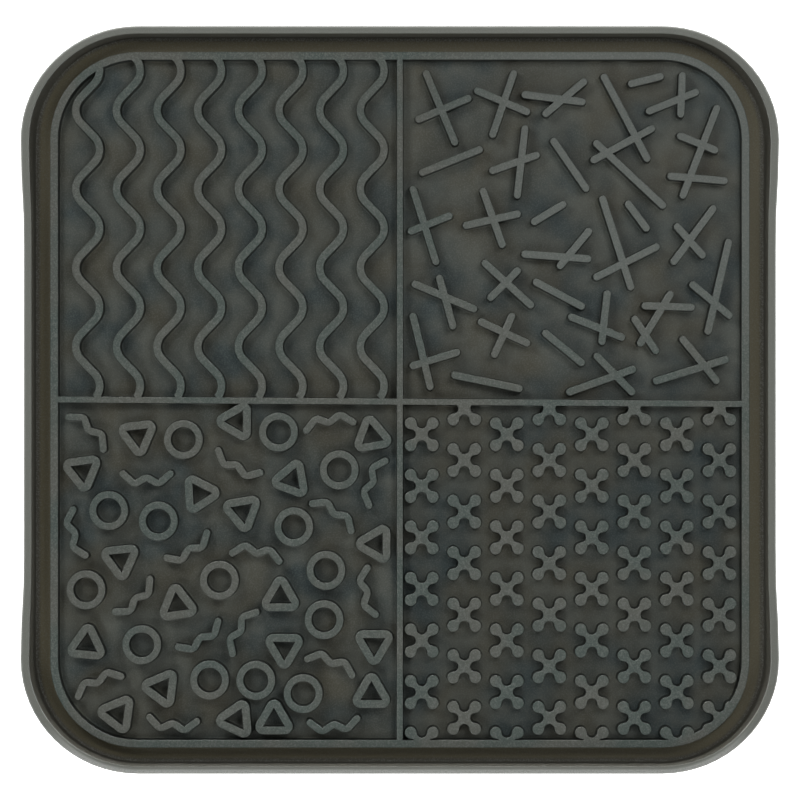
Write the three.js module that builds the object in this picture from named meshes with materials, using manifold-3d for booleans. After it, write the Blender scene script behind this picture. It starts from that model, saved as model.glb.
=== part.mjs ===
import * as THREE from 'three';
import { mergeVertices } from 'three/addons/utils/BufferGeometryUtils.js';
import Module from 'manifold-3d';

const wasm = await Module();
wasm.setup();

// Lick mat of moulded silicone, in millimetres.
// X runs across the mat, Y runs away from the user, Z is up from the table.

// Heights above the table
const FLOOR_TOP = 2.0;
const RIB_TOP = 5.6;
const RIM_TOP = 10.0;
const RIB_ROOT = 1.0;

// Rounded-square outline of the mat, at the waist of its sides
const HALF_WIDTH = 98.7;
const HALF_LENGTH = 98.15;
const CORNER_RADIUS = 30;
const CORNER_STEPS = 7;

// The rim leans out on the left and right sides towards the corners
const LEAN = 0.85;
const LEAN_START = 44;
const LEAN_FULL = 66;
const LEAN_STATIONS = [-64, -52, 52, 64];

// Rim section, as distances in from the outline
const RIM_BEVEL = 0.55;
const RIM_WIDTH = 2.05;
const WALL_FOOT = 2.5;

// Border rib and the ribs that part the field in four
const BORDER_HALF_WIDTH = 92.2;
const BORDER_HALF_LENGTH = 91.75;
const BORDER_RADIUS = 23;
const BORDER_WIDTH = 2.05;
const BORDER_STEPS = 6;
const DIVIDER_WIDTH = 1.6;
const DIVIDER_LEFT_Y = 0.1;
const DIVIDER_RIGHT_Y = -1.1;

// Wave ribs of the top left field
const WAVE_COUNT = 8;
const WAVE_FIRST_X = -82.33;
const WAVE_PITCH = 10.72;
const WAVE_WIDTH = 2.05;
const WAVE_AMPLITUDE = 3.15;
const WAVE_HALF_PERIOD = 10.4;
const WAVE_SLOPE = 44 * Math.PI / 180;
const WAVE_TOP_Y = 86.8;
const WAVE_ARC_STEPS = 2;
const WAVE_END_ABOVE = 3.8;
const WAVE_CORNER_END_ABOVE = 2.0;
const WAVE_END_BELOW = 3.6;

// Straight bars of the top right field
const BAR_WIDTH = 1.93;
const BAR_END_STEPS = 3;

// Rings, triangles and squiggles of the bottom left field
const RING_RADIUS = 5.25;
const RING_HOLE_RADIUS = 3.37;
const RING_STEPS = 9;
const RING_HOLE_STEPS = 7;
const TRIANGLE_HOLE_REACH = 3.35;
const TRIANGLE_WALL = 2.05;
const TRIANGLE_CORNER_STEPS = 2;
const SQUIGGLE_WIDTH = 1.85;
const SQUIGGLE_END_STEPS = 3;

// Four-lobed crosses of the bottom right field
const CROSS_COLUMNS = 8;
const CROSS_ROWS = 7;
const CROSS_LAST_X = 84.32;
const CROSS_TOP_Y = -2.3;
const CROSS_PITCH_X = 11.22;
const CROSS_PITCH_Y = 13.6;
const CROSS_LOBE_REACH = 2.93;
const CROSS_LOBE_RADIUS = 1.72;
const CROSS_LOBE_STEPS = 3;
const CROSS_LOBE_SPREAD = 136 * Math.PI / 180;
const CROSS_HOLLOW_REACH = 1.58;

// Dark warm-grey silicone
const SILICONE_COLOUR = 0x56574f;
const SILICONE_ROUGHNESS = 0.55;
const SILICONE_METALNESS = 0;

// Turns a closed geometry into a solid that can be joined to another
function toSolid(geometry) {
  geometry.deleteAttribute('normal');
  geometry.deleteAttribute('uv');
  const welded = mergeVertices(geometry, 1e-5);
  const mesh = new wasm.Mesh({
    numProp: 3,
    vertProperties: new Float32Array(welded.attributes.position.array),
    triVerts: new Uint32Array(welded.index.array),
  });
  return new wasm.Manifold(mesh);
}

// Turns a joined solid back into a geometry
function toGeometry(solid) {
  const mesh = solid.getMesh();
  const geometry = new THREE.BufferGeometry();
  geometry.setAttribute('position', new THREE.BufferAttribute(mesh.vertProperties, 3));
  geometry.setIndex(new THREE.BufferAttribute(mesh.triVerts, 1));
  geometry.computeVertexNormals();
  return geometry;
}

// Rib of even height that rises from the floor, with an optional hole through it
function rib(outline, hole = null) {
  const shape = new THREE.Shape(outline);
  if (hole) {
    shape.holes.push(new THREE.Path(hole));
  }
  const geometry = new THREE.ExtrudeGeometry(shape, { depth: RIB_TOP - RIB_ROOT, bevelEnabled: false });
  geometry.translate(0, 0, RIB_ROOT);
  return toSolid(geometry);
}

// Points on an arc about a centre, both ends included
function arc(centreX, centreY, radius, startAngle, endAngle, steps) {
  const points = [];
  for (let i = 0; i <= steps; i += 1) {
    const angle = startAngle + (endAngle - startAngle) * i / steps;
    points.push(new THREE.Vector2(centreX + radius * Math.cos(angle), centreY + radius * Math.sin(angle)));
  }
  return points;
}

// Rounded-square outline, anticlockwise
function roundedSquare(halfWidth, halfLength, radius, steps) {
  const quarter = Math.PI / 2;
  const centreX = halfWidth - radius;
  const centreY = halfLength - radius;
  return [
    ...arc(centreX, centreY, radius, 0, quarter, steps),
    ...arc(-centreX, centreY, radius, quarter, 2 * quarter, steps),
    ...arc(-centreX, -centreY, radius, 2 * quarter, 3 * quarter, steps),
    ...arc(centreX, -centreY, radius, 3 * quarter, 4 * quarter, steps),
  ];
}

// Outline of a stroke of even width along a path, with rounded ends or square ones
function stroke(path, width, endSteps) {
  const half = width / 2;
  const left = [];
  const right = [];
  const last = path.length - 1;
  path.forEach((point, i) => {
    const before = path[Math.max(i - 1, 0)];
    const after = path[Math.min(i + 1, last)];
    const arrive = (i === 0 ? after.clone().sub(point) : point.clone().sub(before)).normalize();
    const leave = (i === last ? arrive.clone() : after.clone().sub(point)).normalize();
    const along = arrive.clone().add(leave).normalize();
    const reach = half / along.dot(leave);
    const side = new THREE.Vector2(-along.y, along.x).multiplyScalar(reach);
    left.push(point.clone().add(side));
    right.push(point.clone().sub(side));
  });
  const startHeading = path[1].clone().sub(path[0]).angle();
  const endHeading = path[last].clone().sub(path[last - 1]).angle();
  const endCap = endSteps > 0
    ? arc(path[last].x, path[last].y, half, endHeading - Math.PI / 2, endHeading + Math.PI / 2, endSteps)
    : [];
  const startCap = endSteps > 0
    ? arc(path[0].x, path[0].y, half, startHeading + Math.PI / 2, startHeading + 3 * Math.PI / 2, endSteps)
    : [];
  return [
    ...right,
    ...endCap.slice(1, -1),
    ...left.reverse(),
    ...startCap.slice(1, -1),
  ];
}

// One level of the tray: the outline drawn in by a distance, at a height, with its share of lean
function trayLevel(inset, height, leanShare) {
  const radius = CORNER_RADIUS - inset;
  const halfWidth = HALF_WIDTH - inset;
  const points = roundedSquare(halfWidth, HALF_LENGTH - inset, radius, CORNER_STEPS);
  const perCorner = CORNER_STEPS + 1;
  const rightSide = LEAN_STATIONS.map((y) => new THREE.Vector2(halfWidth, y));
  const leftSide = LEAN_STATIONS.map((y) => new THREE.Vector2(-halfWidth, -y));
  const ring = [
    ...rightSide,
    ...points.slice(0, 2 * perCorner),
    ...leftSide,
    ...points.slice(2 * perCorner),
  ];
  const cornerX = HALF_WIDTH - CORNER_RADIUS;
  return ring.map((point) => {
    const facing = Math.max(Math.abs(point.x) - cornerX, 0) / radius;
    const rise = THREE.MathUtils.smoothstep(Math.abs(point.y), LEAN_START, LEAN_FULL);
    const lean = LEAN * leanShare * rise * facing;
    return new THREE.Vector3(point.x + Math.sign(point.x) * lean, point.y, height);
  });
}

// Closed skin over a stack of levels that share one point count, capped at both ends
function skin(levels) {
  const count = levels[0].length;
  const positions = [];
  const indices = [];
  levels.forEach((level) => level.forEach((point) => positions.push(point.x, point.y, point.z)));
  for (let row = 0; row < levels.length - 1; row += 1) {
    for (let i = 0; i < count; i += 1) {
      const next = (i + 1) % count;
      const low = row * count;
      const high = low + count;
      indices.push(low + i, low + next, high + next);
      indices.push(low + i, high + next, high + i);
    }
  }
  const topRow = (levels.length - 1) * count;
  for (let i = 1; i < count - 1; i += 1) {
    indices.push(0, i + 1, i);
    indices.push(topRow, topRow + i, topRow + i + 1);
  }
  const geometry = new THREE.BufferGeometry();
  geometry.setAttribute('position', new THREE.Float32BufferAttribute(positions, 3));
  geometry.setIndex(indices);
  return geometry;
}

// Base sheet and rim: from the sole, up the outer wall, over the rim and down to the floor
function makeTray() {
  return toSolid(skin([
    trayLevel(0, 0, 0),
    trayLevel(0, RIM_TOP - RIM_BEVEL, 1),
    trayLevel(RIM_BEVEL, RIM_TOP, 1),
    trayLevel(RIM_WIDTH, RIM_TOP, 1),
    trayLevel(WALL_FOOT, FLOOR_TOP, 0),
  ]));
}

// Rounded-square rib that frames the field
function makeBorder() {
  const outer = roundedSquare(BORDER_HALF_WIDTH, BORDER_HALF_LENGTH, BORDER_RADIUS, BORDER_STEPS);
  const inner = roundedSquare(
    BORDER_HALF_WIDTH - BORDER_WIDTH,
    BORDER_HALF_LENGTH - BORDER_WIDTH,
    BORDER_RADIUS - BORDER_WIDTH,
    BORDER_STEPS,
  );
  return rib(outer, inner);
}

// The two ribs that part the field, reaching to the middle of the border rib
function makeDividers() {
  const reachX = BORDER_HALF_WIDTH - BORDER_WIDTH / 2;
  const reachY = BORDER_HALF_LENGTH - BORDER_WIDTH / 2;
  const across = [
    new THREE.Vector2(-reachX, DIVIDER_LEFT_Y),
    new THREE.Vector2(reachX, DIVIDER_RIGHT_Y),
  ];
  const along = [
    new THREE.Vector2(0, -reachY),
    new THREE.Vector2(0, reachY),
  ];
  return [across, along].map((path) => rib(stroke(path, DIVIDER_WIDTH, 0)));
}

// Centre line of one wave rib: equal arcs joined by straight slopes, from the border to the divider
function wavePath(centreX, endAbove) {
  const sine = Math.sin(WAVE_SLOPE);
  const cosine = Math.cos(WAVE_SLOPE);
  const bend = 1 - cosine;
  const radius = (WAVE_HALF_PERIOD * sine - 2 * WAVE_AMPLITUDE * cosine)
    / (2 * sine * sine - 2 * bend * cosine);
  const turns = 9;
  const path = [];
  for (let turn = 0; turn < turns; turn += 1) {
    const side = turn % 2 === 0 ? 1 : -1;
    const turnY = WAVE_TOP_Y - turn * WAVE_HALF_PERIOD;
    const arcX = centreX + side * (WAVE_AMPLITUDE - radius);
    const first = turn === 0 ? Math.asin(endAbove / radius) : WAVE_SLOPE;
    const last = turn === turns - 1 ? -Math.asin(WAVE_END_BELOW / radius) : -WAVE_SLOPE;
    for (let i = 0; i <= WAVE_ARC_STEPS; i += 1) {
      const angle = first + (last - first) * i / WAVE_ARC_STEPS;
      path.push(new THREE.Vector2(arcX + side * radius * Math.cos(angle), turnY + radius * Math.sin(angle)));
    }
  }
  return path;
}

function makeWaves() {
  const waves = [];
  for (let i = 0; i < WAVE_COUNT; i += 1) {
    const endAbove = i === 0 ? WAVE_CORNER_END_ABOVE : WAVE_END_ABOVE;
    const path = wavePath(WAVE_FIRST_X + i * WAVE_PITCH, endAbove);
    waves.push(rib(stroke(path, WAVE_WIDTH, 0)));
  }
  return waves;
}

// Straight bars, each from one end centre to the other: fromX, fromY, toX, toY
const OUTER_BARS = [
  [53.9, 85.1, 65.2, 63.7], [66.4, 71.5, 51.2, 63.3], [51.9, 67.6, 69.3, 51.3], [61.1, 83.4, 68.7, 85.3],
  [74.5, 85.5, 74.1, 75.4], [65.8, 76.2, 78.0, 81.1], [83.6, 76.9, 74.7, 54.0], [74.0, 69.6, 83.1, 65.9],
  [71.5, 59.0, 85.6, 57.8], [53.5, 52.9, 60.9, 29.8], [60.3, 51.6, 65.0, 45.3], [82.6, 50.4, 72.3, 36.5],
  [73.2, 45.6, 79.8, 38.2], [67.6, 40.3, 51.9, 32.4], [86.7, 41.5, 81.3, 18.1], [77.3, 30.3, 86.9, 22.3],
  [64.7, 24.8, 76.9, 24.4], [71.3, 27.8, 63.5, 15.0], [62.0, 21.2, 67.5, 13.0], [54.7, 27.9, 53.3, 15.4],
  [45.3, 21.8, 58.5, 16.5], [52.0, 11.5, 61.2, 2.1], [44.8, 2.1, 61.4, 8.0], [74.7, 15.9, 83.5, 5.1],
  [67.7, 5.0, 85.9, 10.6],
];
const INNER_BARS = [
  [48.5, 83.9, 38.5, 75.5], [48.1, 78.6, 33.0, 80.5], [49.1, 55.8, 40.6, 68.2], [49.8, 44.4, 42.3, 35.4],
  [49.6, 37.2, 33.0, 38.4], [47.9, 24.7, 36.0, 31.0], [47.9, 9.8, 38.5, 17.5], [30.0, 86.0, 24.5, 70.0],
  [20.5, 81.5, 33.5, 76.0], [7.0, 86.0, 14.5, 68.0], [5.0, 74.0, 18.0, 79.5], [33.0, 71.5, 31.0, 54.0],
  [24.5, 60.5, 36.0, 64.5], [21.0, 66.0, 6.0, 60.0], [22.0, 55.0, 27.0, 41.0], [17.5, 46.0, 31.0, 49.0],
  [3.5, 55.5, 9.5, 36.5], [3.0, 44.5, 13.0, 48.5], [35.5, 47.0, 43.0, 51.5], [22.5, 36.0, 34.5, 25.0],
  [24.0, 27.0, 31.0, 34.0], [4.0, 30.5, 19.5, 24.0], [10.5, 32.0, 14.0, 19.5], [21.5, 20.5, 33.5, 15.0],
  [25.0, 12.0, 29.5, 22.0], [3.5, 22.0, 8.0, 3.5], [3.5, 9.0, 15.0, 12.5], [14.5, 6.5, 31.5, 3.0],
];

function makeBars() {
  return [...OUTER_BARS, ...INNER_BARS].map(([fromX, fromY, toX, toY]) => {
    const path = [new THREE.Vector2(fromX, fromY), new THREE.Vector2(toX, toY)];
    return rib(stroke(path, BAR_WIDTH, BAR_END_STEPS));
  });
}

// Rings: centreX, centreY
const RINGS = [
  [-57.1, -10.5], [-76.8, -29.2], [-63.7, -32.0], [-82.8, -50.1], [-68.1, -64.6], [-50.2, -73.9],
  [-47.6, -47.6], [-32.0, -8.5], [-16.0, -18.5], [-28.0, -33.5], [-19.5, -45.0], [-20.0, -58.0],
  [-38.0, -74.0], [-25.5, -77.5],
];

function makeRings() {
  const turn = 2 * Math.PI;
  return RINGS.map(([centreX, centreY]) => rib(
    arc(centreX, centreY, RING_RADIUS, 0, turn, RING_STEPS).slice(1),
    arc(centreX, centreY, RING_HOLE_RADIUS, 0, turn, RING_HOLE_STEPS).slice(1),
  ));
}

// Triangles: centreX, centreY, direction of one corner in degrees
const TRIANGLES = [
  [-69.1, -9.5, -83], [-83.7, -18.8, -82], [-52.9, -24.8, 3], [-73.7, -42.2, -84], [-58.7, -54.0, 98],
  [-82.6, -64.5, 85], [-62.8, -76.0, 173], [-74.4, -82.8, 172], [-43.0, -5.7, 180], [-43.1, -84.3, 185],
  [-28.5, -21.0, 70], [-7.4, -9.5, 100], [-41.5, -29.5, 40], [-6.2, -38.0, 60], [-31.5, -52.0, 90],
  [-30.5, -65.5, 30], [-6.8, -64.5, 30], [-7.5, -77.5, 90], [-33.2, -84.5, 90],
];

// Sharp three-cornered hole inside walls of even width, so the outer corners are round
function makeTriangles() {
  const third = 2 * Math.PI / 3;
  return TRIANGLES.map(([centreX, centreY, degrees]) => {
    const facing = THREE.MathUtils.degToRad(degrees);
    const hole = arc(centreX, centreY, TRIANGLE_HOLE_REACH, facing, facing + 2 * third, 2);
    const outline = hole.flatMap((corner, i) => {
      const heading = facing + i * third;
      return arc(corner.x, corner.y, TRIANGLE_WALL, heading - third / 2, heading + third / 2, TRIANGLE_CORNER_STEPS);
    });
    return rib(outline, hole);
  });
}

// Squiggles: middleX, middleY, heading from end to end in degrees, bends on the left of it
const SQUIGGLES = [
  [-82.8, -8.8, -43], [-66.8, -19.5, 180], [-84.6, -35.0, 105], [-56.2, -38.4, 212], [-70.5, -51.6, 223],
  [-53.2, -61.8, 213], [-79.2, -75.6, 25], [-59.8, -84.3, 175], [-42.4, -16.3, 152], [-18.5, -7.0, 10],
  [-6.0, -22.0, 70], [-18.0, -31.0, -35], [-38.0, -41.5, -10], [-7.5, -50.5, 100], [-41.0, -61.5, 60],
  [-18.5, -70.5, -20], [-17.5, -84.6, 185],
];

// Centre line of a squiggle, along its heading and to the left of it: along, aside
const SQUIGGLE_PATH = [
  [-6.25, 0], [-3.2, 2.77], [0, 0.9], [3.2, 2.77], [6.25, 0],
];

function makeSquiggles() {
  return SQUIGGLES.map(([middleX, middleY, degrees]) => {
    const heading = THREE.MathUtils.degToRad(degrees);
    const middle = new THREE.Vector2(middleX, middleY);
    const origin = new THREE.Vector2();
    const path = SQUIGGLE_PATH.map(([along, aside]) => (
      new THREE.Vector2(along, aside).rotateAround(origin, heading).add(middle)
    ));
    return rib(stroke(path, SQUIGGLE_WIDTH, SQUIGGLE_END_STEPS));
  });
}

// One cross: four round lobes on the diagonals with a hollow between each two
function crossOutline(centreX, centreY) {
  const quarter = Math.PI / 2;
  const reach = CROSS_LOBE_REACH * Math.SQRT2;
  const outline = [];
  for (let i = 0; i < 4; i += 1) {
    const square = i * quarter;
    const diagonal = square + quarter / 2;
    const start = diagonal - CROSS_LOBE_SPREAD;
    const end = diagonal + CROSS_LOBE_SPREAD;
    const lobeX = centreX + reach * Math.cos(diagonal);
    const lobeY = centreY + reach * Math.sin(diagonal);
    outline.push(new THREE.Vector2(
      centreX + CROSS_HOLLOW_REACH * Math.cos(square),
      centreY + CROSS_HOLLOW_REACH * Math.sin(square),
    ));
    outline.push(...arc(lobeX, lobeY, CROSS_LOBE_RADIUS, start, end, CROSS_LOBE_STEPS));
  }
  return outline;
}

// Staggered crosses, cut to the field so that the outermost ones run into the ribs
function makeCrosses() {
  const crosses = [];
  for (let column = 0; column < CROSS_COLUMNS; column += 1) {
    const stagger = column % 2 === 0 ? 0 : CROSS_PITCH_Y / 2;
    for (let row = 0; row < CROSS_ROWS; row += 1) {
      const centreX = CROSS_LAST_X - column * CROSS_PITCH_X;
      const centreY = CROSS_TOP_Y - stagger - row * CROSS_PITCH_Y;
      crosses.push(rib(crossOutline(centreX, centreY)));
    }
  }
  const inset = BORDER_WIDTH / 2;
  const field = rib(roundedSquare(
    BORDER_HALF_WIDTH - inset,
    BORDER_HALF_LENGTH - inset,
    BORDER_RADIUS - inset,
    BORDER_STEPS,
  ));
  const quadrant = rib([
    new THREE.Vector2(0, DIVIDER_RIGHT_Y),
    new THREE.Vector2(0, -HALF_LENGTH),
    new THREE.Vector2(HALF_WIDTH, -HALF_LENGTH),
    new THREE.Vector2(HALF_WIDTH, DIVIDER_RIGHT_Y),
  ]);
  return wasm.Manifold.union(crosses).intersect(field).intersect(quadrant);
}

const moulding = wasm.Manifold.union([
  makeTray(),
  makeBorder(),
  ...makeDividers(),
  ...makeWaves(),
  ...makeBars(),
  ...makeRings(),
  ...makeTriangles(),
  ...makeSquiggles(),
  makeCrosses(),
]);

const silicone = new THREE.MeshStandardMaterial({
  color: SILICONE_COLOUR,
  roughness: SILICONE_ROUGHNESS,
  metalness: SILICONE_METALNESS,
});

const mat = new THREE.Mesh(toGeometry(moulding), silicone);
mat.name = 'mat';

const group = new THREE.Group();
group.add(mat);

export default group;
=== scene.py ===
from math import atan2, cos, pi, radians, sin, tan

import bpy
from mathutils import Matrix, Vector


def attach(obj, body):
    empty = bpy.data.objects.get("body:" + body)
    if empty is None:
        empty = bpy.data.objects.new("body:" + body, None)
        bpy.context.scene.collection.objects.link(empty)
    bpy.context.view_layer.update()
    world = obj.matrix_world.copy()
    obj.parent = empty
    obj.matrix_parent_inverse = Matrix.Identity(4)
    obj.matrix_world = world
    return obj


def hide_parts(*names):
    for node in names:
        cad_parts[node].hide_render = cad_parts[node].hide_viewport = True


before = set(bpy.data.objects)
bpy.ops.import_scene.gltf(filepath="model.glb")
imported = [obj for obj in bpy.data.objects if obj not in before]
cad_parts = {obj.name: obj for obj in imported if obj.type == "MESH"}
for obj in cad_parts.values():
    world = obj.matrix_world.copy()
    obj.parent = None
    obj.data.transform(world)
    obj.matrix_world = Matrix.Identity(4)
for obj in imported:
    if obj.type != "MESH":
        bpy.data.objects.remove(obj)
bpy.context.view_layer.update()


# Base sheet and rim. The sheet is a flat rounded square of silicone, and the rim is its turned-up
# edge, rounded over on the outside and leaning out a little near the four corners. Everything else
# on the mat is moulded in one with it.
mm = 0.001              # in metres: sizes here are in millimetres, and Blender works in metres
SHEET_HALF_WIDTH, SHEET_HALF_LENGTH, SHEET_CORNER = 98.7, 98.15, 30.0
SHEET_CORNER_STEPS = 16
SIDE_CUTS = 13          # in each straight side, so that the rim can lean there
FLOOR_HEIGHT = 2.0
RIM_STRAIGHT = 9.45     # height at which the outer wall starts to round over
RIM_ROUND_REACH, RIM_ROUND_HEIGHT, RIM_ROUND_STEPS = 0.8, 0.55, 5
# from the rim's outer round to the floor, in steps of (in, up)
RIM_FLAT = [(1.07, 0.0)]
RIM_INNER_EDGE = [(0.08, -0.02), (0.10, -0.08), (0.03, -0.15)]
RIM_INNER_WALL = [(0.22, -7.15)]
RIM_FOOT = [(0.06, -0.25), (0.14, -0.21), (0.25, -0.14)]
RIM_LEAN = 0.85         # outwards, at the top
LEAN_START, LEAN_FULL = 44.0, 66.0      # along a side from its middle
TOUCHING = 0.01         # a point this near to a place counts as being there
MERGING = 0.001         # points this near to each other are made one


def add_flat(name, width, length, x, y, height, turn=0.0):
    """Adds a flat rectangle at its size and place, with its object left at the origin."""
    bpy.ops.object.select_all(action="DESELECT")
    place = (x * mm, y * mm, height * mm)
    bpy.ops.mesh.primitive_plane_add(size=1, location=place, rotation=(0, 0, turn))
    flat = bpy.context.object
    flat.name = flat.data.name = name
    flat.scale = (width * mm, length * mm, 1)
    bpy.ops.object.transform_apply(location=True, rotation=True, scale=True)
    return flat


def take(piece):
    """Makes a piece the only one selected, out of edit mode."""
    if bpy.context.mode != "OBJECT":
        bpy.ops.object.mode_set(mode="OBJECT")
    bpy.ops.object.select_all(action="DESELECT")
    piece.select_set(True)
    bpy.context.view_layer.objects.active = piece


def pick(piece, mode, wanted):
    """Goes into edit mode with the points selected whose place in millimetres is wanted."""
    take(piece)
    bpy.ops.object.mode_set(mode="EDIT")
    bpy.ops.mesh.select_mode(type="VERT")
    bpy.ops.mesh.select_all(action="DESELECT")
    bpy.ops.object.mode_set(mode="OBJECT")
    for point in piece.data.vertices:
        point.select = wanted(point.co / mm)
    bpy.ops.object.mode_set(mode="EDIT")
    bpy.ops.mesh.select_mode(type=mode)


def raise_flat(piece, root, steps):
    """Lifts a flat piece off its own sole by root, then draws its top in and up by steps."""
    bpy.ops.object.mode_set(mode="EDIT")
    bpy.ops.mesh.select_mode(type="FACE")
    bpy.ops.mesh.select_all(action="SELECT")
    bpy.ops.mesh.remove_doubles(threshold=MERGING * mm)
    bpy.ops.mesh.normals_make_consistent(inside=False)
    bpy.ops.object.mode_set(mode="OBJECT")
    faces_down = piece.data.polygons[0].normal.z < 0
    bpy.ops.object.mode_set(mode="EDIT")
    if faces_down:
        bpy.ops.mesh.flip_normals()
    bpy.ops.mesh.extrude_region_move(TRANSFORM_OT_translate={"value": (0, 0, root * mm)})
    for drawn_in, up in steps:
        bpy.ops.mesh.inset(thickness=drawn_in * mm, depth=up * mm, use_even_offset=True)
    bpy.ops.mesh.select_all(action="SELECT")
    bpy.ops.mesh.normals_make_consistent(inside=False)
    bpy.ops.object.mode_set(mode="OBJECT")


def rounded_over(reach, height, turns):
    """Steps of (in, up) over a quarter round that starts upright and ends level."""
    angles = [radians(90) * i / turns for i in range(turns + 1)]
    return [(reach * (cos(a) - cos(b)), height * (sin(b) - sin(a))) for a, b in zip(angles, angles[1:])]


def apply_modifier(piece, kind, **settings):
    """Puts a modifier on a piece, sets it and applies it."""
    take(piece)
    bpy.ops.object.modifier_add(type=kind)
    modifier = piece.modifiers[-1]
    for name, value in settings.items():
        setattr(modifier, name, value)
    bpy.ops.object.modifier_apply(modifier=modifier.name)


def share_of(value, start, end):
    """How far a value has come from start to end, from 0 to 1."""
    return min(max((value - start) / (end - start), 0), 1)


sheet = add_flat("sheet", 2 * SHEET_HALF_WIDTH, 2 * SHEET_HALF_LENGTH, 0, 0, 0)
bpy.ops.object.mode_set(mode="EDIT")
bpy.ops.mesh.bevel(affect="VERTICES", offset=SHEET_CORNER * mm, segments=SHEET_CORNER_STEPS)
pick(sheet, "EDGE", lambda place: abs(place.x) > SHEET_HALF_WIDTH - TOUCHING)
bpy.ops.mesh.subdivide(number_cuts=SIDE_CUTS)
rim_round = rounded_over(RIM_ROUND_REACH, RIM_ROUND_HEIGHT, RIM_ROUND_STEPS)
raise_flat(sheet, RIM_STRAIGHT, rim_round + RIM_FLAT + RIM_INNER_EDGE + RIM_INNER_WALL + RIM_FOOT)

# the lean of the rim, from nothing at the floor to all of it at the top
for name, side in (("left", -1), ("right", 1)):
    leaning = sheet.vertex_groups.new(name=name)
    for point in sheet.data.vertices:
        place = point.co / mm
        facing = (side * place.x - SHEET_HALF_WIDTH + SHEET_CORNER) / SHEET_CORNER
        along_side = share_of(abs(place.y), LEAN_START, LEAN_FULL)
        eased = along_side * along_side * (3 - 2 * along_side)
        share_up = share_of(place.z, FLOOR_HEIGHT, RIM_STRAIGHT)
        if facing > 0:
            leaning.add([point.index], min(facing, 1) * eased * share_up, "REPLACE")
    apply_modifier(
        sheet, "DISPLACE", direction="X", mid_level=0, strength=side * RIM_LEAN * mm, vertex_group=name
    )


# Border rib. A low rib of the same silicone runs round the textured field and leaves a plain gutter
# inside the rim. Like every rib here it has a small fillet at its foot, a little draft so that it
# leaves the mould, and a softened top edge.
BORDER_HALF_WIDTH, BORDER_HALF_LENGTH = 92.2, 91.75
BORDER_CORNER, BORDER_THICK = 23.0, 2.05
BORDER_CORNER_STEPS = 14
RIB_SOLE = 1.0          # ribs start inside the sheet, so that they join it
RIB_ROOT = 0.97         # straight part, up to just under the floor
# from the root up, in steps of (in, up)
RIB_FOOT = [(0.275, 0.077), (0.128, 0.128), (0.047, 0.175)]
RIB_SIDE = [(0.13, 3.05)]
RIB_EDGE_ROUND, RIB_EDGE_STEPS = 0.2, 3
RIB_STEPS = RIB_FOOT + RIB_SIDE + rounded_over(RIB_EDGE_ROUND, RIB_EDGE_ROUND, RIB_EDGE_STEPS)
RIB_FLARE = 0.58        # what foot and side draw in together: a root is this much wider on each side
FIELD_SOLE, FIELD_HEIGHT = 0.5, 8.0

border = add_flat(
    "border", 2 * (BORDER_HALF_WIDTH + RIB_FLARE), 2 * (BORDER_HALF_LENGTH + RIB_FLARE), 0, 0, RIB_SOLE
)
bpy.ops.object.mode_set(mode="EDIT")
bpy.ops.mesh.bevel(
    affect="VERTICES", offset=(BORDER_CORNER + RIB_FLARE) * mm, segments=BORDER_CORNER_STEPS
)
bpy.ops.mesh.select_mode(type="FACE")
bpy.ops.mesh.select_all(action="SELECT")
bpy.ops.mesh.inset(thickness=(BORDER_THICK + 2 * RIB_FLARE) * mm, use_even_offset=True)
bpy.ops.mesh.delete(type="FACE")
raise_flat(border, RIB_ROOT, RIB_STEPS)

# the space inside the middle of the border rib, to which whatever runs into the rib is cut
FIELD_HALF_WIDTH = BORDER_HALF_WIDTH - BORDER_THICK / 2
FIELD_HALF_LENGTH = BORDER_HALF_LENGTH - BORDER_THICK / 2
FIELD_CORNER = BORDER_CORNER - BORDER_THICK / 2
field = add_flat("field", 2 * FIELD_HALF_WIDTH, 2 * FIELD_HALF_LENGTH, 0, 0, FIELD_SOLE)
bpy.ops.object.mode_set(mode="EDIT")
bpy.ops.mesh.bevel(affect="VERTICES", offset=FIELD_CORNER * mm, segments=BORDER_CORNER_STEPS)
raise_flat(field, FIELD_HEIGHT, [])


# Dividing ribs. Two thin straight ribs of silicone, as high as the others and moulded with them, part
# the field in four. The one across stands a little askew, and the one along the mat crosses it in the
# middle.
DIVIDER_THICK = 1.6
DIVIDER_LEFT_Y, DIVIDER_RIGHT_Y = 0.1, -1.1

divider_root = DIVIDER_THICK + 2 * RIB_FLARE
across_reach = 2 * FIELD_HALF_WIDTH
across = add_flat(
    "divider_across", across_reach + 2 * RIB_FLARE, divider_root,
    0, (DIVIDER_LEFT_Y + DIVIDER_RIGHT_Y) / 2, RIB_SOLE,
    atan2(DIVIDER_RIGHT_Y - DIVIDER_LEFT_Y, across_reach),
)
raise_flat(across, RIB_ROOT, RIB_STEPS)
along = add_flat("divider_along", divider_root, 2 * (FIELD_HALF_LENGTH + RIB_FLARE), 0, 0, RIB_SOLE)
raise_flat(along, RIB_ROOT, RIB_STEPS)


# Wave ribs of the top left field. Eight even silicone waves side by side run from the border rib down
# to the divider, and are moulded with both. Each is round turns joined by short straight slopes, so
# that food is held in long bends.
WAVE_COUNT, WAVE_THICK, WAVE_PITCH = 8, 2.05, 10.72
WAVE_FIRST_X, WAVE_TOP_Y = -82.33, 86.8
# centre line: reach to each side, radius of a turn, slope in degrees, length of a slope
WAVE_REACH, WAVE_TURN, WAVE_SLOPE, WAVE_STRAIGHT = 3.15, 4.8, 44.0, 5.19
WHOLE_TURNS, WHOLE_TURN_STEPS = 7, 8
# the first and last turns, cut short at angles that are hidden in the ribs
WAVE_TOP_END, WAVE_BOTTOM_END, END_TURN_STEPS = 52.4, 48.6, 9
WAVE_LEAD = 0.2         # short straight start of the strip


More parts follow.
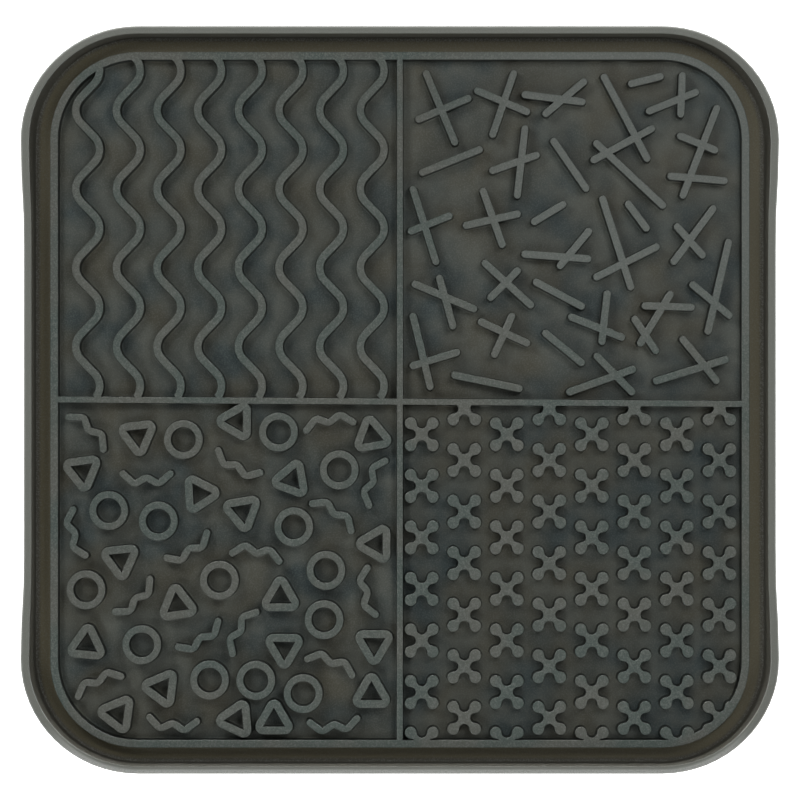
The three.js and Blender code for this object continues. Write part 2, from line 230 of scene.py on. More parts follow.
def lay_strip(name, width, x, y, heading, strokes):
    """Lays a flat strip from (x, y) along its strokes, of which the first is a straight one.

    A stroke is ("straight", length) or ("bend", radius, degrees, steps).
    """
    start = strokes[0][1]
    tip = Vector((x, y, RIB_SOLE))
    forward = Vector((cos(heading), sin(heading), 0))
    middle = tip + forward * start / 2
    strip = add_flat(name, start, width, middle.x, middle.y, RIB_SOLE, heading)
    tip += forward * start
    pick(strip, "EDGE", lambda place: abs((place - tip).dot(forward)) < TOUCHING)
    for kind, *size in strokes[1:]:
        forward = Vector((cos(heading), sin(heading), 0))
        if kind == "straight":
            bpy.ops.mesh.extrude_region_move(TRANSFORM_OT_translate={"value": forward * size[0] * mm})
            tip += forward * size[0]
        else:
            radius, turn, steps = size
            left = Vector((-forward.y, forward.x, 0))
            centre = tip + left * (radius if turn > 0 else -radius)
            bpy.ops.mesh.spin(steps=steps, angle=-radians(turn), center=centre * mm, axis=(0, 0, 1))
            tip = centre + Matrix.Rotation(radians(turn), 3, "Z") @ (tip - centre)
            heading += radians(turn)
    bpy.ops.object.mode_set(mode="OBJECT")
    return strip


def place_copies(model, places):
    """Copies a finished rib to each place of (x, y, turn in degrees) and makes the copies one piece."""
    copies = []
    for x, y, turn in places:
        take(model)
        bpy.ops.object.duplicate()
        copy = bpy.context.object
        copy.location = (x * mm, y * mm, 0)
        copy.rotation_euler.z = radians(turn)
        bpy.ops.object.transform_apply(location=True, rotation=True, scale=True)
        copies.append(copy)
    bpy.data.objects.remove(model)
    for copy in copies:
        copy.select_set(True)
    bpy.context.view_layer.objects.active = copies[0]
    bpy.ops.object.join()
    return bpy.context.object


wave_strokes = [("straight", WAVE_LEAD), ("bend", WAVE_TURN, -WAVE_SLOPE - WAVE_TOP_END, END_TURN_STEPS)]
for turn in range(WHOLE_TURNS):
    bend = 2 * WAVE_SLOPE * (-1 if turn % 2 else 1)
    wave_strokes += [("straight", WAVE_STRAIGHT), ("bend", WAVE_TURN, bend, WHOLE_TURN_STEPS)]
wave_strokes.append(("straight", WAVE_STRAIGHT))
wave_strokes.append(("bend", WAVE_TURN, -WAVE_SLOPE - WAVE_BOTTOM_END, END_TURN_STEPS))
wave_heading = radians(WAVE_TOP_END - 90)
wave = lay_strip(
    "wave", WAVE_THICK + 2 * RIB_FLARE,
    WAVE_REACH - WAVE_TURN + WAVE_TURN * cos(radians(WAVE_TOP_END)) - WAVE_LEAD * cos(wave_heading),
    WAVE_TURN * sin(radians(WAVE_TOP_END)) - WAVE_LEAD * sin(wave_heading),
    wave_heading, wave_strokes,
)
raise_flat(wave, RIB_ROOT, RIB_STEPS)
waves = place_copies(wave, [(WAVE_FIRST_X + i * WAVE_PITCH, WAVE_TOP_Y, 0) for i in range(WAVE_COUNT)])
apply_modifier(waves, "BOOLEAN", operation="INTERSECT", solver="MANIFOLD", object=field)


# Crossed bars of the top right field. Straight silicone bars of one width lie strewn over each other,
# with rounded ends and level tops, so that two that cross are moulded as one flat cross. The inner
# ones are guessed from the outer ones.
BAR_THICK = 1.93
END_STEPS = 5           # in each corner of a rounded end
# from x, from y, to x, to y, between the centres of the round ends
BARS = [
    (53.9, 85.1, 65.2, 63.7), (66.4, 71.5, 51.2, 63.3), (51.9, 67.6, 69.3, 51.3), (61.1, 83.4, 68.7, 85.3),
    (74.5, 85.5, 74.1, 75.4), (65.8, 76.2, 78.0, 81.1), (83.6, 76.9, 74.7, 54.0), (74.0, 69.6, 83.1, 65.9),
    (71.5, 59.0, 85.6, 57.8), (53.5, 52.9, 60.9, 29.8), (60.3, 51.6, 65.0, 45.3), (82.6, 50.4, 72.3, 36.5),
    (73.2, 45.6, 79.8, 38.2), (67.6, 40.3, 51.9, 32.4), (86.7, 41.5, 81.3, 18.1), (77.3, 30.3, 86.9, 22.3),
    (64.7, 24.8, 76.9, 24.4), (71.3, 27.8, 63.5, 15.0), (62.0, 21.2, 67.5, 13.0), (54.7, 27.9, 53.3, 15.4),
    (45.3, 21.8, 58.5, 16.5), (52.0, 11.5, 61.2, 2.1), (44.8, 2.1, 61.4, 8.0), (74.7, 15.9, 83.5, 5.1),
    (67.7, 5.0, 85.9, 10.6),
    (48.5, 83.9, 38.5, 75.5), (48.1, 78.6, 33.0, 80.5), (49.1, 55.8, 40.6, 68.2), (49.8, 44.4, 42.3, 35.4),
    (49.6, 37.2, 33.0, 38.4), (47.9, 24.7, 36.0, 31.0), (47.9, 9.8, 38.5, 17.5), (30.0, 86.0, 24.5, 70.0),
    (20.5, 81.5, 33.5, 76.0), (7.0, 86.0, 14.5, 68.0), (5.0, 74.0, 18.0, 79.5), (33.0, 71.5, 31.0, 54.0),
    (24.5, 60.5, 36.0, 64.5), (21.0, 66.0, 6.0, 60.0), (22.0, 55.0, 27.0, 41.0), (17.5, 46.0, 31.0, 49.0),
    (3.5, 55.5, 9.5, 36.5), (3.0, 44.5, 13.0, 48.5), (35.5, 47.0, 43.0, 51.5), (22.5, 36.0, 34.5, 25.0),
    (24.0, 27.0, 31.0, 34.0), (4.0, 30.5, 19.5, 24.0), (10.5, 32.0, 14.0, 19.5), (21.5, 20.5, 33.5, 15.0),
    (25.0, 12.0, 29.5, 22.0), (3.5, 22.0, 8.0, 3.5), (3.5, 9.0, 15.0, 12.5), (14.5, 6.5, 31.5, 3.0),
]


def round_ends(strip, width, ends):
    """Rounds both corners of a strip at each of its ends, so that the end becomes a half circle."""
    pick(strip, "VERT", lambda place: any((place - end).length < width / 2 + TOUCHING for end in ends))
    bpy.ops.mesh.bevel(affect="VERTICES", offset=width / 2 * mm, segments=END_STEPS)
    bpy.ops.object.mode_set(mode="OBJECT")


def join_level(first, others):
    """Melts ribs that cross each other into the first one."""
    for other in others:
        apply_modifier(first, "BOOLEAN", operation="UNION", solver="MANIFOLD", object=other)
        bpy.data.objects.remove(other)


bars = []
bar_root = BAR_THICK + 2 * RIB_FLARE
for from_x, from_y, to_x, to_y in BARS:
    heading = atan2(to_y - from_y, to_x - from_x)
    forward = Vector((cos(heading), sin(heading), 0))
    start = Vector((from_x, from_y, RIB_SOLE)) - forward * bar_root / 2
    end = Vector((to_x, to_y, RIB_SOLE)) + forward * bar_root / 2
    bar = lay_strip("bar", bar_root, start.x, start.y, heading, [("straight", (end - start).length)])
    round_ends(bar, bar_root, (start, end))
    raise_flat(bar, RIB_ROOT, RIB_STEPS)
    bars.append(bar)
join_level(bars[0], bars[1:])


# Rings of the bottom left field. Plain round rings of silicone stand among the other small shapes,
# each moulded on the floor with a wide round hole down to it.
RING_RADIUS, RING_HOLE, RING_SIDES = 5.14, 3.27, 40
RING_PLACES = [
    (-57.1, -10.5), (-76.8, -29.2), (-63.7, -32.0), (-82.8, -50.1), (-68.1, -64.6), (-50.2, -73.9),
    (-47.6, -47.6), (-32.0, -8.5), (-16.0, -18.5), (-28.0, -33.5), (-19.5, -45.0), (-20.0, -58.0),
    (-38.0, -74.0), (-25.5, -77.5),
]


def join_and_bridge(outline, hole):
    """Joins an outline and the hole in it, and fills the flat between the two."""
    take(outline)
    hole.select_set(True)
    bpy.ops.object.join()
    bpy.ops.object.mode_set(mode="EDIT")
    bpy.ops.mesh.select_mode(type="EDGE")
    bpy.ops.mesh.select_all(action="SELECT")
    bpy.ops.mesh.bridge_edge_loops()
    bpy.ops.object.mode_set(mode="OBJECT")


def add_circle(name, sides, radius, turn=0.0):
    """Adds an open circle, or a figure of a few equal sides, around the middle of the mat."""
    bpy.ops.object.select_all(action="DESELECT")
    bpy.ops.mesh.primitive_circle_add(
        vertices=sides, radius=radius * mm, location=(0, 0, RIB_SOLE * mm), rotation=(0, 0, turn)
    )
    circle = bpy.context.object
    circle.name = circle.data.name = name
    bpy.ops.object.transform_apply(location=True, rotation=True, scale=True)
    return circle


ring = add_circle("ring", RING_SIDES, RING_RADIUS + RIB_FLARE)
join_and_bridge(ring, add_circle("ring_hole", RING_SIDES, RING_HOLE - RIB_FLARE))
raise_flat(ring, RIB_ROOT, RIB_STEPS)
rings = place_copies(ring, [(x, y, 0) for x, y in RING_PLACES])


# Triangles of the bottom left field. Each is a silicone wall of even thickness, moulded on the floor
# round a sharp three-cornered hole, so its outside corners are round.
TRIANGLE_HOLE_REACH, TRIANGLE_WALL, TRIANGLE_CORNER_STEPS = 3.35, 2.05, 8
# x, y, direction of one corner in degrees
TRIANGLE_PLACES = [
    (-69.1, -9.5, -83), (-83.7, -18.8, -82), (-52.9, -24.8, 3), (-73.7, -42.2, -84), (-58.7, -54.0, 98),
    (-82.6, -64.5, 85), (-62.8, -76.0, 173), (-74.4, -82.8, 172),
    (-43.0, -5.7, 180), (-43.1, -84.3, 185), (-28.5, -21.0, 70), (-7.4, -9.5, 100), (-41.5, -29.5, 40),
    (-6.2, -38.0, 60), (-31.5, -52.0, 90), (-30.5, -65.5, 30), (-6.8, -64.5, 30), (-7.5, -77.5, 90),
    (-33.2, -84.5, 90),
]


def draw_outline(name, x, y, arcs):
    """Draws a closed outline from a point at (x, y) by arcs of (centre x, centre y, degrees, steps).

    Two more numbers in an arc are the x and y that a straight line runs on to from its end.
    """
    outline = add_flat(name, 1, 1, x, y, RIB_SOLE)
    pick(outline, "VERT", lambda place: True)
    bpy.ops.mesh.merge(type="CENTER")
    tip = Vector((x, y, RIB_SOLE))
    for centre_x, centre_y, turn, steps, *onward in arcs:
        centre = Vector((centre_x, centre_y, RIB_SOLE))
        bpy.ops.mesh.spin(steps=steps, angle=-radians(turn), center=centre * mm, axis=(0, 0, 1))
        tip = centre + Matrix.Rotation(radians(turn), 3, "Z") @ (tip - centre)
        if onward:
            step = Vector((*onward, RIB_SOLE)) - tip
            bpy.ops.mesh.extrude_region_move(TRANSFORM_OT_translate={"value": step * mm})
            tip += step
    bpy.ops.mesh.select_all(action="SELECT")
    bpy.ops.mesh.remove_doubles(threshold=MERGING * mm)
    bpy.ops.object.mode_set(mode="OBJECT")
    return outline


triangle_arcs = []
triangle_radius = TRIANGLE_WALL + RIB_FLARE
for i in range(3):
    corner, following = radians(120 * i), radians(120 * (i + 1))
    triangle_arcs.append((
        TRIANGLE_HOLE_REACH * cos(corner), TRIANGLE_HOLE_REACH * sin(corner), 120, TRIANGLE_CORNER_STEPS,
        TRIANGLE_HOLE_REACH * cos(following) + triangle_radius * cos(following - radians(60)),
        TRIANGLE_HOLE_REACH * sin(following) + triangle_radius * sin(following - radians(60)),
    ))
triangle = draw_outline(
    "triangle",
    TRIANGLE_HOLE_REACH + triangle_radius * cos(radians(-60)), triangle_radius * sin(radians(-60)),
    triangle_arcs,
)
triangle_hole = add_circle("triangle_hole", 3, TRIANGLE_HOLE_REACH - 2 * RIB_FLARE, radians(-90))
join_and_bridge(triangle, triangle_hole)
raise_flat(triangle, RIB_ROOT, RIB_STEPS)
triangles = place_copies(triangle, TRIANGLE_PLACES)


# Squiggles of the bottom left field. Short four-legged strokes of silicone like a wide W, moulded on
# the floor with round ends, and with bends that are round on the outside and sharp on the inside.
SQUIGGLE_THICK = 1.85
SQUIGGLE_LEG, SQUIGGLE_MIDDLE_LEG = 4.12, 3.706        # between the corners of the centre line
SQUIGGLE_BEND, SQUIGGLE_MIDDLE_BEND = 72.5, 60.6       # degrees
BEND_STEPS, MIDDLE_BEND_STEPS = 5, 4
SQUIGGLE_HALF_SPAN = 6.25
# middle x, middle y, heading in degrees, with the bends on the left of it
SQUIGGLE_PLACES = [
    (-82.8, -8.8, -43), (-66.8, -19.5, 180), (-84.6, -35.0, 105), (-56.2, -38.4, 212), (-70.5, -51.6, 223),
    (-53.2, -61.8, 213), (-79.2, -75.6, 25), (-59.8, -84.3, 175),
    (-42.4, -16.3, 152), (-18.5, -7.0, 10), (-6.0, -22.0, 70), (-18.0, -31.0, -35), (-38.0, -41.5, -10),
    (-7.5, -50.5, 100), (-41.0, -61.5, 60), (-18.5, -70.5, -20), (-17.5, -84.6, 185),
]

squiggle_root = SQUIGGLE_THICK + 2 * RIB_FLARE
bend_cut = squiggle_root / 2 * tan(radians(SQUIGGLE_BEND / 2))
middle_cut = squiggle_root / 2 * tan(radians(SQUIGGLE_MIDDLE_BEND / 2))
outer_leg = ("straight", squiggle_root / 2 + SQUIGGLE_LEG - bend_cut)
outer_bend = ("bend", squiggle_root / 2, -SQUIGGLE_BEND, BEND_STEPS)
middle_leg = ("straight", SQUIGGLE_MIDDLE_LEG - bend_cut - middle_cut)
middle_bend = ("bend", squiggle_root / 2, SQUIGGLE_MIDDLE_BEND, MIDDLE_BEND_STEPS)
squiggle_strokes = [outer_leg, outer_bend, middle_leg, middle_bend, middle_leg, outer_bend, outer_leg]
squiggle_heading = radians((SQUIGGLE_BEND + SQUIGGLE_BEND - SQUIGGLE_MIDDLE_BEND) / 2)
squiggle_forward = Vector((cos(squiggle_heading), sin(squiggle_heading), 0))
squiggle_start = Vector((-SQUIGGLE_HALF_SPAN, 0, RIB_SOLE)) - squiggle_forward * squiggle_root / 2
squiggle_end = Vector((-squiggle_start.x, squiggle_start.y, RIB_SOLE))
squiggle = lay_strip(
    "squiggle", squiggle_root, squiggle_start.x, squiggle_start.y, squiggle_heading, squiggle_strokes
)
round_ends(squiggle, squiggle_root, (squiggle_start, squiggle_end))
raise_flat(squiggle, RIB_ROOT, RIB_STEPS)
squiggles = place_copies(squiggle, SQUIGGLE_PLACES)


# Crosses of the bottom right field. Each is four round lobes of silicone with a round hollow between
# each two, moulded on the floor. They stand in staggered columns over the whole field, and the
# outermost ones run into the ribs there.
LOBE_REACH, LOBE_RADIUS, LOBE_STEPS = 2.93, 1.58, 12
HOLLOW_RADIUS, HOLLOW_STEPS = LOBE_REACH - LOBE_RADIUS, 6
CROSS_LAST_X, CROSS_TOP_Y, CROSS_PITCH_X, CROSS_PITCH_Y = 84.32, -2.3, 11.22, 13.6
CROSS_COLUMNS, CROSS_ROWS = 8, 7

cross_arcs = []
for i in range(4):
    turned = Matrix.Rotation(radians(-90 * i), 2)
    hollow = turned @ Vector((0, LOBE_REACH))
    lobe = turned @ Vector((LOBE_REACH, LOBE_REACH))
    cross_arcs.append((hollow.x, hollow.y, 180, HOLLOW_STEPS))
    cross_arcs.append((lobe.x, lobe.y, -270, LOBE_STEPS))
cross = draw_outline("cross", -HOLLOW_RADIUS + RIB_FLARE, LOBE_REACH, cross_arcs)
bpy.ops.object.mode_set(mode="EDIT")
bpy.ops.mesh.select_all(action="SELECT")
bpy.ops.mesh.edge_face_add()
raise_flat(cross, RIB_ROOT, RIB_STEPS)
cross_places = [
    (CROSS_LAST_X - column * CROSS_PITCH_X, CROSS_TOP_Y - (row + column % 2 / 2) * CROSS_PITCH_Y, 0)
    for column in range(CROSS_COLUMNS)
    for row in range(CROSS_ROWS)
]
crosses = place_copies(cross, cross_places)
pick(field, "FACE", lambda place: True)
bpy.ops.mesh.bisect(
    plane_co=(0, DIVIDER_RIGHT_Y * mm, 0), plane_no=(0, 1, 0), clear_outer=True, use_fill=True
)
bpy.ops.object.mode_set(mode="OBJECT")
apply_modifier(crosses, "BOOLEAN", operation="INTERSECT", solver="MANIFOLD", object=field)
bpy.data.objects.remove(field)


# The moulding. The sheet and all the ribs are one piece of silicone, so they are melted into one skin
# that stands for the CAD solid. Broad faces keep their own direction in the shading, and only the
# small rounds turn.
join_level(sheet, (border, across, along, waves, bars[0], rings, triangles, squiggles, crosses))
mat = sheet
mat.name = mat.data.name = "lick_mat"
take(mat)
bpy.ops.object.shade_smooth()
apply_modifier(mat, "WEIGHTED_NORMAL", mode="FACE_AREA", weight=100, keep_sharp=True)
mat.data.materials.clear()


# Silicone. One charge of dark warm-grey rubber, dull from the mould, with faint cool and warm clouds
# and a fine dry speckle all over. The rim top and the greener rib tops are paler than the floor with
# painted light, and the rib tops of the top right field are paler still. The gutter is browner, and
# painted lighter against the shade of the rim. The rim's outer edge is palest, with a painted highlight
# that is widest along the near side, and the flanks of the ribs are darkest, with painted shade.
FLOOR_COOL, FLOOR_WARM, FLOOR_PALE = (0.019, 0.033, 0.034), (0.048, 0.046, 0.030), (0.069, 0.075, 0.062)
# the rib flanks get painted shade; the gutter is browner, and painted lighter against the shade of the rim
FLANK_PAINTED_SHADE, GUTTER_BROWN_AND_PAINTED_LIGHT, WALL_BROWN = (0.011, 0.013, 0.011), (0.089, 0.078, 0.043), (0.045, 0.042, 0.031)
# rib tops: greener, and paler than the floor with painted light; the top right field's are paler still
RIB_GREEN, RIB_WARM, RIB_TOP_RIGHT = (0.050, 0.068, 0.060), (0.076, 0.080, 0.068), (0.098, 0.110, 0.100)
# the rim top is paler with painted light, and its outer edge palest with a painted highlight
RIM_TOP_PAINTED_LIGHT, RIM_EDGE_HIGHLIGHT = (0.134, 0.140, 0.122), (0.31, 0.32, 0.30)
SPECKLE_PALE = (0.170, 0.180, 0.165)
PALE_SHARE, TOP_RIGHT_SHARE = 0.8, 0.85
SPECKLE_ON_FLOOR, SPECKLE_ON_RIBS = 0.22, 0.5
SMOOTHEST, ROUGHEST = 0.5, 0.66
BUMP_STRENGTH, BUMP_DEPTH = 0.3, 0.05
SILICONE_IOR = 1.41
# turns per metre, detail, and an offset that keeps each noise apart from the others
WARM_NOISE, PALE_NOISE = (62.0, 1.0, 1.3), (130.0, 2.0, 3.7)
SPECKLE_SCALE, SPECKLE_DETAIL, SPECKLE_OFFSET = 2600.0, 2.0, 0.0
# levels of its noise at which each starts and is full
WARM_LEVELS, PALE_LEVELS = (0.36, 0.64), (0.32, 0.72)
SPECKLE_LEVELS, ROUGH_LEVELS = (0.42, 0.7), (0.3, 0.7)
# heights at which each zone starts and is full
FLANK_RISE, RIB_TOP_RISE = (2.05, 2.5), (4.9, 5.5)
RIM_TOP_RISE, RIM_EDGE_RISE, ROUND_DROP = (9.4, 9.9), (9.2, 9.5), (9.98, 9.8)
# the same for zones by how far out they lie from the middle of the border rib
GUTTER_OUT, RIM_WALL_OUT = (0.2, 0.9), (3.6, 4.6)
# and by how far out they lie from the edge of the sheet, where less than nothing is inside it
ROUND_BAND, NEAR_BAND, NEAR_INNER_BAND = (-2.0, -1.5), (-1.55, -0.85), (-1.75, -1.95)
# and by the place along X or Y: the top right field, and the rim's near run, where its painted highlight
# is widest
TOP_RIGHT_SIDE, NEAR_SIDE = (0, 45), (-84, -95)
NEAR_INNER_SHARE = 0.5  # how much of the rim's paleness stays on the inside of its near run
FIRST_COLOUR, SECOND_COLOUR, MIXED_COLOUR = 6, 7, 2    # places of a Mix node's colour sockets


def start_group(name, inputs):
    """Starts a node group with inputs of these names."""
    group = bpy.data.node_groups.new(name, "ShaderNodeTree")
    for title in inputs:
        group.interface.new_socket(title, in_out="INPUT", socket_type="NodeSocketFloat")
    return group


def close_group(group, masks):
    """Gives a node group an output for each of its named masks."""
    for title in masks:
        group.interface.new_socket(title, in_out="OUTPUT", socket_type="NodeSocketFloat")
    group_end = group.nodes.new("NodeGroupOutput")
    for title, mask in masks.items():
        group.links.new(mask, group_end.inputs[title])


def add_node(tree, kind, values=(), **settings):
    """Adds a shader node, sets it, and feeds its inputs: a socket is linked, anything else is set."""
    node = tree.nodes.new("ShaderNode" + kind)
    for name, value in settings.items():
        setattr(node, name, value)
    for place, value in dict(values).items():
        if isinstance(value, bpy.types.NodeSocket):
            tree.links.new(value, node.inputs[place])
        else:
            node.inputs[place].default_value = value
    return node


def reckon(tree, operation, first, second=0.0):
    """Works one value out of one or two others."""
    return add_node(tree, "Math", {0: first, 1: second}, operation=operation).outputs[0]


def fade(tree, value, start, end, low=0.0, high=1.0):
    """A smooth mask that goes from low where value is at start to high where it is at end."""
    limits = {"From Min": start, "From Max": end, "To Min": low, "To Max": high}
    return add_node(
        tree, "MapRange", {"Value": value, **limits}, interpolation_type="SMOOTHSTEP"
    ).outputs["Result"]


def mix_colours(tree, share, first, second):
    """A mix of two colours, which are sockets or plain colours, with this share of the second."""
    ends = {FIRST_COLOUR: first, SECOND_COLOUR: second}
    colours = {place: (*end, 1) if isinstance(end, tuple) else end for place, end in ends.items()}
    return add_node(tree, "Mix", {0: share, **colours}, data_type="RGBA").outputs[MIXED_COLOUR]


def noise(tree, place, scale, detail, offset):
    """Cloudy noise around half, with its own offset so that no two run together."""
    values = {"Vector": place, "W": offset, "Scale": scale, "Detail": detail}
    return add_node(tree, "TexNoise", values, noise_dimensions="4D").outputs["Fac"]


# the zones, each a mask that is made from a point's place on the mat
zones = start_group("mat_zones", [])
axes = add_node(zones, "SeparateXYZ", {0: add_node(zones, "TexCoord").outputs["Object"]}).outputs


def both(first, second):
    """One zone mask times another, which is what lies in both."""
    return reckon(zones, "MULTIPLY", first, second)


def outside_of(half_width, half_length, corner):
    """How far a point lies outside a rounded square around the middle, in metres."""
    squares = []
    for axis, half in (("X", half_width), ("Y", half_length)):
        past = reckon(zones, "SUBTRACT", reckon(zones, "ABSOLUTE", axes[axis]), (half - corner) * mm)
        past = reckon(zones, "MAXIMUM", past, 0.0)
        squares.append(reckon(zones, "MULTIPLY", past, past))
    return reckon(zones, "SUBTRACT", reckon(zones, "SQRT", reckon(zones, "ADD", *squares)), corner * mm)


def zone_from(place, limits):
    """A zone mask that starts and is full at these two limits of a place, in millimetres."""
    start, end = limits
    return fade(zones, place, start * mm, end * mm)


outside = outside_of(FIELD_HALF_WIDTH, FIELD_HALF_LENGTH, FIELD_CORNER)
from_edge = outside_of(SHEET_HALF_WIDTH, SHEET_HALF_LENGTH, SHEET_CORNER)
near_run = zone_from(axes["Y"], NEAR_SIDE)
# the painted highlight: the rim's outer round, and a wider band along its near run
round_edge = both(zone_from(axes["Z"], ROUND_DROP), zone_from(from_edge, ROUND_BAND))
near_edge = both(zone_from(from_edge, NEAR_BAND), near_run)
near_inner = both(zone_from(from_edge, NEAR_INNER_BAND), near_run)
# less of the rim top's painted light on the inside of its near run
kept_rim_light = fade(zones, near_inner, 1.0, 0.0, NEAR_INNER_SHARE, 1.0)
close_group(zones, {
    "flank": zone_from(axes["Z"], FLANK_RISE),
    "rib top": zone_from(axes["Z"], RIB_TOP_RISE),
    # the top right field, where the rib tops are paler
    "top_right": both(zone_from(axes["X"], TOP_RIGHT_SIDE), zone_from(axes["Y"], TOP_RIGHT_SIDE)),
    "gutter": zone_from(outside, GUTTER_OUT),
    "rim wall": zone_from(outside, RIM_WALL_OUT),
    "rim top": both(zone_from(axes["Z"], RIM_TOP_RISE), kept_rim_light),
    "rim edge": both(zone_from(axes["Z"], RIM_EDGE_RISE), reckon(zones, "MAXIMUM", round_edge, near_edge)),
})

# clouds in the colour, and the dry speckle
mottle = start_group("silicone_mottle", ["speckle scale"])
spot = add_node(mottle, "TexCoord").outputs["Object"]
speckle_scale = mottle.nodes.new("NodeGroupInput").outputs["speckle scale"]
close_group(mottle, {
    "warm": fade(mottle, noise(mottle, spot, *WARM_NOISE), *WARM_LEVELS),
    "pale": fade(mottle, noise(mottle, spot, *PALE_NOISE), *PALE_LEVELS),
    "speckle": noise(mottle, spot, speckle_scale, SPECKLE_DETAIL, SPECKLE_OFFSET),
})

silicone = bpy.data.materials.new("silicone")
silicone.use_nodes = True
tree = silicone.node_tree
shader = tree.nodes["Principled BSDF"]
zone = add_node(tree, "Group", node_tree=zones).outputs
cloud = add_node(tree, "Group", {"speckle scale": SPECKLE_SCALE}, node_tree=mottle).outputs

# paler rib tops in the top right field
top_right = reckon(tree, "MULTIPLY", zone["top_right"], TOP_RIGHT_SHARE)
# rib tops, greener, and paler than the floor with painted light
rib_colour = mix_colours(tree, cloud["warm"], RIB_GREEN, RIB_WARM)
rib_colour = mix_colours(tree, top_right, rib_colour, RIB_TOP_RIGHT)
standing_up = reckon(tree, "MAXIMUM", zone["rib top"], zone["rim wall"])
speckle_share = fade(tree, standing_up, 0.0, 1.0, SPECKLE_ON_FLOOR, SPECKLE_ON_RIBS)
speckles = fade(tree, cloud["speckle"], *SPECKLE_LEVELS)
layers = [
    (reckon(tree, "MULTIPLY", cloud["pale"], PALE_SHARE), FLOOR_PALE),
    # the gutter: browner, and painted lighter against the shade of the rim and the border rib
    (zone["gutter"], GUTTER_BROWN_AND_PAINTED_LIGHT),
    # painted shade on the flanks of the ribs
    (zone["flank"], FLANK_PAINTED_SHADE),
    # painted light on the rib tops
    (zone["rib top"], rib_colour),
    (zone["rim wall"], WALL_BROWN),
    # painted light on the rim top
    (zone["rim top"], RIM_TOP_PAINTED_LIGHT),
    # painted highlight on the rim's outer edge
    (zone["rim edge"], RIM_EDGE_HIGHLIGHT),
    (reckon(tree, "MULTIPLY", speckles, speckle_share), SPECKLE_PALE),
]
colour = mix_colours(tree, cloud["warm"], FLOOR_COOL, FLOOR_WARM)
for share, layer in layers:
    colour = mix_colours(tree, share, colour, layer)
roughness = fade(tree, cloud["speckle"], *ROUGH_LEVELS, SMOOTHEST, ROUGHEST)
bump = add_node(
    tree, "Bump", {"Height": cloud["speckle"], "Strength": BUMP_STRENGTH, "Distance": BUMP_DEPTH * mm}
)
tree.links.new(colour, shader.inputs["Base Color"])
tree.links.new(roughness, shader.inputs["Roughness"])
tree.links.new(bump.outputs["Normal"], shader.inputs["Normal"])
shader.inputs["IOR"].default_value = SILICONE_IOR
mat.data.materials.append(silicone)
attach(mat, "root")
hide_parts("mat")


# Floor. A wide sheet of plain white paper with a faint tooth, lit so strongly that it prints white
# right up to the mat. It is the stage and no part of the mat.
PAPER_SIDE = 4000
PAPER_DIM, PAPER_WHITE = (0.88, 0.88, 0.88), (0.92, 0.92, 0.91)
PAPER_SMOOTHEST, PAPER_ROUGHEST = 0.75, 0.85
PAPER_BUMP = 0.2
TOOTH_NOISE = (900.0, 2.0, 5.1)
PAPER_GLOW = 1.3

bpy.ops.object.select_all(action="DESELECT")
bpy.ops.mesh.primitive_plane_add(size=PAPER_SIDE * mm)
floor = bpy.context.object
floor.name = floor.data.name = "floor"
paper = bpy.data.materials.new("white_paper")
paper.use_nodes = True
tree = paper.node_tree
shader = tree.nodes["Principled BSDF"]
tooth = noise(tree, add_node(tree, "TexCoord").outputs["Object"], *TOOTH_NOISE)
roughness = fade(tree, tooth, *ROUGH_LEVELS, PAPER_SMOOTHEST, PAPER_ROUGHEST)
bump = add_node(tree, "Bump", {"Height": tooth, "Strength": PAPER_BUMP, "Distance": BUMP_DEPTH * mm})
tree.links.new(mix_colours(tree, tooth, PAPER_DIM, PAPER_WHITE), shader.inputs["Base Color"])
tree.links.new(roughness, shader.inputs["Roughness"])
tree.links.new(bump.outputs["Normal"], shader.inputs["Normal"])
shader.inputs["Emission Color"].default_value = (1, 1, 1, 1)
shader.inputs["Emission Strength"].default_value = PAPER_GLOW
floor.data.materials.append(paper)


# Studio light. Small softboxes hang over the four corners and one hangs off the near edge, and a low
# bright band of sky behind the mat lights whatever faces it. Nothing hangs straight above, so soft
# shade stays at the foot of each rib.
SOFTBOX_HEIGHT = 450
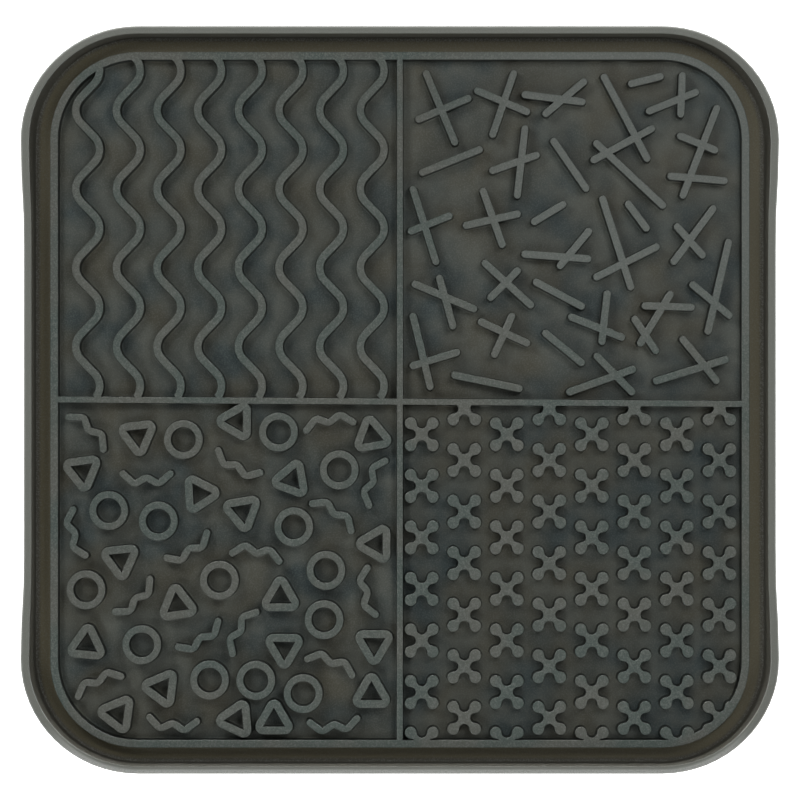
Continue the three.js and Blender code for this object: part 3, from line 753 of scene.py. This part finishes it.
# x, y, width, length, and how bright each makes a white card at the mat's middle, where 1 is white
SOFTBOXES = {
    "left_back_softbox": (-283, 283, 200, 200, 0.21),
    "left_near_softbox": (-283, -283, 200, 200, 0.135),
    "right_back_softbox": (177, 177, 200, 200, 0.26),
    "right_near_softbox": (177, -177, 200, 200, 0.09),
    "near_softbox": (0, -900, 400, 300, 0.165),
}
BAND_TOP = 0.17         # where the band ends, from 0 at the horizon to 1 straight above
BACK_LIGHT = 23.0       # of the band towards +Y
SKY_LIGHT = 0.5         # of the band all round

for name, (x, y, width, length, level) in SOFTBOXES.items():
    place = Vector((x, y, SOFTBOX_HEIGHT)) * mm
    aim = place.to_track_quat("Z", "Y").to_euler()
    bpy.ops.object.light_add(type="AREA", location=place, rotation=aim)
    softbox = bpy.context.object
    softbox.name = name
    softbox.visible_camera = False
    softbox.data.shape = "RECTANGLE"
    softbox.data.size, softbox.data.size_y = width * mm, length * mm
    softbox.data.energy = level * pi ** 2 * place.length ** 3 / place.z

world = bpy.data.worlds.new("studio")
bpy.context.scene.world = world
world.use_nodes = True
sky = world.node_tree
direction = add_node(sky, "SeparateXYZ", {0: add_node(sky, "TexCoord").outputs["Generated"]}).outputs
band = fade(sky, direction["Z"], BAND_TOP, BAND_TOP / 2)
towards_back = reckon(sky, "MAXIMUM", direction["Y"], 0.0)
back_light = reckon(sky, "MULTIPLY", reckon(sky, "MULTIPLY", towards_back, towards_back), BACK_LIGHT)
glow = reckon(sky, "MULTIPLY", band, reckon(sky, "ADD", back_light, SKY_LIGHT))
sky.links.new(glow, sky.nodes["Background"].inputs["Strength"])
sky.nodes["Background"].inputs["Color"].default_value = (1, 1, 1, 1)


# Camera. It looks straight down on the middle of the mat and frames it as in the picture, from high
# enough above the ribs that their flanks hardly show.
PIXEL = 0.26361         # millimetres per pixel at the rib tops
IMAGE_SIZE = 800
CAMERA_X, CAMERA_Y = 0.04, -0.05
CAMERA_ABOVE = 850.0    # over the rib tops
RIB_TOPS = 5.6
FILM = 36

camera_place = (CAMERA_X * mm, CAMERA_Y * mm, (CAMERA_ABOVE + RIB_TOPS) * mm)
bpy.ops.object.camera_add(location=camera_place, rotation=(0, 0, 0))
camera = bpy.context.object
camera.data.sensor_width = FILM
camera.data.lens = FILM * CAMERA_ABOVE / (IMAGE_SIZE * PIXEL)
bpy.context.scene.camera = camera
bpy.context.scene.view_settings.view_transform = "Standard"
